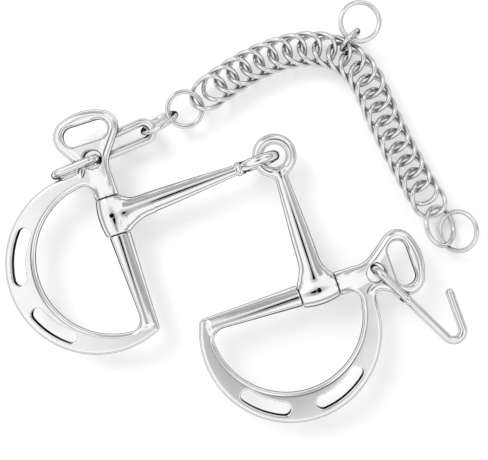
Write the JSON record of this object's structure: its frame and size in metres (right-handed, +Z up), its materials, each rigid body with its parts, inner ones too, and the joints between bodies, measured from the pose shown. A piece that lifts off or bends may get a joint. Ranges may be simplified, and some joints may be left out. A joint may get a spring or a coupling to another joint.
{
  "type": "curb bit",
  "caption": "Jointed curb bit with two slotted D cheeks, a broken mouthpiece turning on the cheeks' bars, curb hooks and a double-link curb chain, lying flat.",
  "frame": {"origin": "on the table, below the middle of the box that the folded bit fills", "axes": "+Z up from the table the folded bit lies on; X along the table from the left cheek to the right cheek; Y along the table towards the curb chain's bow"},
  "size_m": [0.2022, 0.181, 0.023],
  "materials": {
    "cheek_steel": "mirror-polished stainless steel with faint hairline scratches",
    "mouth_steel": "mirror-polished stainless steel, slightly softer at the flares",
    "hook_steel": "polished drawn steel wire",
    "chain_steel": "polished drawn steel wire, a little duller than the cheeks"
  },
  "bodies": {
    "left_cheek": {"left_cheek": "cheek_steel"},
    "right_cheek": {"right_cheek": "cheek_steel"},
    "left_cannon": {"left_cannon": "mouth_steel"},
    "right_cannon": {"right_cannon": "mouth_steel"},
    "left_curb_hook": {"left_curb_hook": "hook_steel"},
    "right_curb_hook": {"right_curb_hook": "hook_steel"},
    "hook_ring": {"hook_ring": "chain_steel"},
    "joining_ring": {"joining_ring": "chain_steel"},
    "end_ring": {"end_ring": "chain_steel"},
    "spare_end_ring": {"spare_end_ring": "chain_steel"},
    "fly_link_holder": {"fly_link_holder": "chain_steel"},
    "fly_link": {"fly_link": "chain_steel"},
    "chain_link_01": {"chain_link_01": "chain_steel"},
    "chain_link_02": {"chain_link_02": "chain_steel"},
    "chain_link_03": {"chain_link_03": "chain_steel"},
    "chain_link_04": {"chain_link_04": "chain_steel"},
    "chain_link_05": {"chain_link_05": "chain_steel"},
    "chain_link_06": {"chain_link_06": "chain_steel"},
    "chain_link_07": {"chain_link_07": "chain_steel"},
    "chain_link_08": {"chain_link_08": "chain_steel"},
    "chain_link_09": {"chain_link_09": "chain_steel"},
    "chain_link_10": {"chain_link_10": "chain_steel"},
    "chain_link_11": {"chain_link_11": "chain_steel"},
    "chain_link_12": {"chain_link_12": "chain_steel"},
    "chain_link_13": {"chain_link_13": "chain_steel"},
    "chain_link_14": {"chain_link_14": "chain_steel"},
    "chain_link_15": {"chain_link_15": "chain_steel"},
    "chain_link_16": {"chain_link_16": "chain_steel"},
    "chain_link_17": {"chain_link_17": "chain_steel"},
    "chain_link_18": {"chain_link_18": "chain_steel"},
    "chain_link_19": {"chain_link_19": "chain_steel"},
    "chain_link_20": {"chain_link_20": "chain_steel"},
    "chain_link_21": {"chain_link_21": "chain_steel"},
    "chain_link_22": {"chain_link_22": "chain_steel"}
  },
  "joints": [
    {"name": "left_barrel_turn", "type": "hinge", "parent": "left_cheek", "child": "left_cannon", "pos_m": [-0.05537, -0.00246, 0.01361], "axis": [-0.3024, 0.9532, 0], "range_deg": [-120, 120]},
    {"name": "mouth_fold", "type": "hinge", "parent": "left_cannon", "child": "right_cannon", "pos_m": [0.00692, 0.02097, 0.01361], "axis": [-0.352, 0.936, 0], "range_deg": [-90, 90]},
    {"name": "right_barrel_turn", "type": "hinge", "parent": "right_cannon", "child": "right_cheek", "pos_m": [0.03245, -0.03412, 0.01361], "axis": [0.9449, 0.3272, 0], "range_deg": [-120, 120]},
    {"name": "left_hook_swing", "type": "hinge", "parent": "left_cheek", "child": "left_curb_hook", "pos_m": [-0.06387, 0.0217, 0.01361], "axis": [0, 0, 1], "range_deg": [-3, 1]},
    {"name": "right_hook_swing", "type": "hinge", "parent": "right_cheek", "child": "right_curb_hook", "pos_m": [0.05691, -0.0265, 0.01361], "axis": [0, 0, 1], "range_deg": [-35, 0]},
    {"name": "hook_ring_swing", "type": "hinge", "parent": "left_curb_hook", "child": "hook_ring", "pos_m": [-0.0433, 0.03508, 0.0076], "axis": [0.4848, -0.8746, 0], "range_deg": [-20, 20]},
    {"name": "joining_ring_swing", "type": "hinge", "parent": "hook_ring", "child": "joining_ring", "pos_m": [-0.03055, 0.04121, 0.00821], "axis": [0.4786, -0.878, 0], "range_deg": [-20, 20]},
    {"name": "chain_link_01_swing", "type": "hinge", "parent": "joining_ring", "child": "chain_link_01", "pos_m": [-0.0199, 0.04766, 0.0081], "axis": [0.5575, -0.8302, 0], "range_deg": [-20, 20]},
    {"name": "chain_link_02_swing", "type": "hinge", "parent": "chain_link_01", "child": "chain_link_02", "pos_m": [-0.01217, 0.05299, 0.0081], "axis": [0.5878, -0.809, 0], "range_deg": [-8, 8]},
    {"name": "chain_link_03_swing", "type": "hinge", "parent": "chain_link_02", "child": "chain_link_03", "pos_m": [-0.00684, 0.05672, 0.0081], "axis": [0.5592, -0.829, 0], "range_deg": [-8, 8]},
    {"name": "chain_link_04_swing", "type": "hinge", "parent": "chain_link_03", "child": "chain_link_04", "pos_m": [-0.00136, 0.06021, 0.0081], "axis": [0.515, -0.8572, 0], "range_deg": [-8, 8]},
    {"name": "chain_link_05_swing", "type": "hinge", "parent": "chain_link_04", "child": "chain_link_05", "pos_m": [0.00432, 0.06336, 0.0081], "axis": [0.454, -0.891, 0], "range_deg": [-8, 8]},
    {"name": "chain_link_06_swing", "type": "hinge", "parent": "chain_link_05", "child": "chain_link_06", "pos_m": [0.01023, 0.06606, 0.0081], "axis": [0.3746, -0.9272, 0], "range_deg": [-8, 8]},
    {"name": "chain_link_07_swing", "type": "hinge", "parent": "chain_link_06", "child": "chain_link_07", "pos_m": [0.01635, 0.06822, 0.0081], "axis": [0.2924, -0.9563, 0], "range_deg": [-8, 8]},
    {"name": "chain_link_08_swing", "type": "hinge", "parent": "chain_link_07", "child": "chain_link_08", "pos_m": [0.02266, 0.06974, 0.0081], "axis": [0.1736, -0.9848, 0], "range_deg": [-8, 8]},
    {"name": "chain_link_09_swing", "type": "hinge", "parent": "chain_link_08", "child": "chain_link_09", "pos_m": [0.02911, 0.07036, 0.0081], "axis": [0.0175, -0.9998, 0], "range_deg": [-8, 8]},
    {"name": "chain_link_10_swing", "type": "hinge", "parent": "chain_link_09", "child": "chain_link_10", "pos_m": [0.03555, 0.06979, 0.0081], "axis": [-0.1908, -0.9816, 0], "range_deg": [-8, 8]},
    {"name": "chain_link_11_swing", "type": "hinge", "parent": "chain_link_10", "child": "chain_link_11", "pos_m": [0.04168, 0.0678, 0.0081], "axis": [-0.4226, -0.9063, 0], "range_deg": [-8, 7]},
    {"name": "chain_link_12_swing", "type": "hinge", "parent": "chain_link_11", "child": "chain_link_12", "pos_m": [0.04716, 0.06438, 0.0081], "axis": [-0.6293, -0.7771, 0], "range_deg": [-7, 8]},
    {"name": "chain_link_13_swing", "type": "hinge", "parent": "chain_link_12", "child": "chain_link_13", "pos_m": [0.05164, 0.05974, 0.0081], "axis": [-0.7986, -0.6018, 0], "range_deg": [-8, 8]},
    {"name": "chain_link_14_swing", "type": "hinge", "parent": "chain_link_13", "child": "chain_link_14", "pos_m": [0.05502, 0.05423, 0.0081], "axis": [-0.8988, -0.4384, 0], "range_deg": [-8, 8]},
    {"name": "chain_link_15_swing", "type": "hinge", "parent": "chain_link_14", "child": "chain_link_15", "pos_m": [0.05771, 0.04831, 0.0081], "axis": [-0.9205, -0.3907, 0], "range_deg": [-8, 8]},
    {"name": "chain_link_16_swing", "type": "hinge", "parent": "chain_link_15", "child": "chain_link_16", "pos_m": [0.0603, 0.04235, 0.0081], "axis": [-0.9135, -0.4067, 0], "range_deg": [-8, 8]},
    {"name": "chain_link_17_swing", "type": "hinge", "parent": "chain_link_16", "child": "chain_link_17", "pos_m": [0.06305, 0.03646, 0.0081], "axis": [-0.8988, -0.4384, 0], "range_deg": [-8, 8]},
    {"name": "chain_link_18_swing", "type": "hinge", "parent": "chain_link_17", "child": "chain_link_18", "pos_m": [0.06595, 0.03064, 0.0081], "axis": [-0.891, -0.454, 0], "range_deg": [-8, 8]},
    {"name": "chain_link_19_swing", "type": "hinge", "parent": "chain_link_18", "child": "chain_link_19", "pos_m": [0.06895, 0.02488, 0.0081], "axis": [-0.8829, -0.4695, 0], "range_deg": [-8, 8]},
    {"name": "chain_link_20_swing", "type": "hinge", "parent": "chain_link_19", "child": "chain_link_20", "pos_m": [0.07205, 0.01917, 0.0081], "axis": [-0.8746, -0.4848, 0], "range_deg": [-8, 8]},
    {"name": "chain_link_21_swing", "type": "hinge", "parent": "chain_link_20", "child": "chain_link_21", "pos_m": [0.07525, 0.01351, 0.0081], "axis": [-0.866, -0.5, 0], "range_deg": [-8, 8]},
    {"name": "chain_link_22_swing", "type": "hinge", "parent": "chain_link_21", "child": "chain_link_22", "pos_m": [0.0786, 0.00794, 0.0081], "axis": [-0.848, -0.5299, 0], "range_deg": [-8, 8]},
    {"name": "end_ring_swing", "type": "hinge", "parent": "chain_link_22", "child": "end_ring", "pos_m": [0.0831, 0.00148, 0.0073], "axis": [-0.901, -0.4338, 0], "range_deg": [-20, 20]},
    {"name": "spare_end_ring_swing", "type": "hinge", "parent": "end_ring", "child": "spare_end_ring", "pos_m": [0.0871, -0.00752, 0.0025], "axis": [-0.059, -0.9837, -0.1699], "range_deg": [-15, 20]},
    {"name": "fly_link_holder_swing", "type": "hinge", "parent": "chain_link_10", "child": "fly_link_holder", "pos_m": [0.0437, 0.07048, 0.00651], "axis": [0.4291, 0.2835, -0.8576], "range_deg": [-12, 6]},
    {"name": "fly_link_swing", "type": "hinge", "parent": "fly_link_holder", "child": "fly_link", "pos_m": [0.0501, 0.07288, 0.0118], "axis": [1, 0, 0], "range_deg": [-5, 12]}
  ]
}
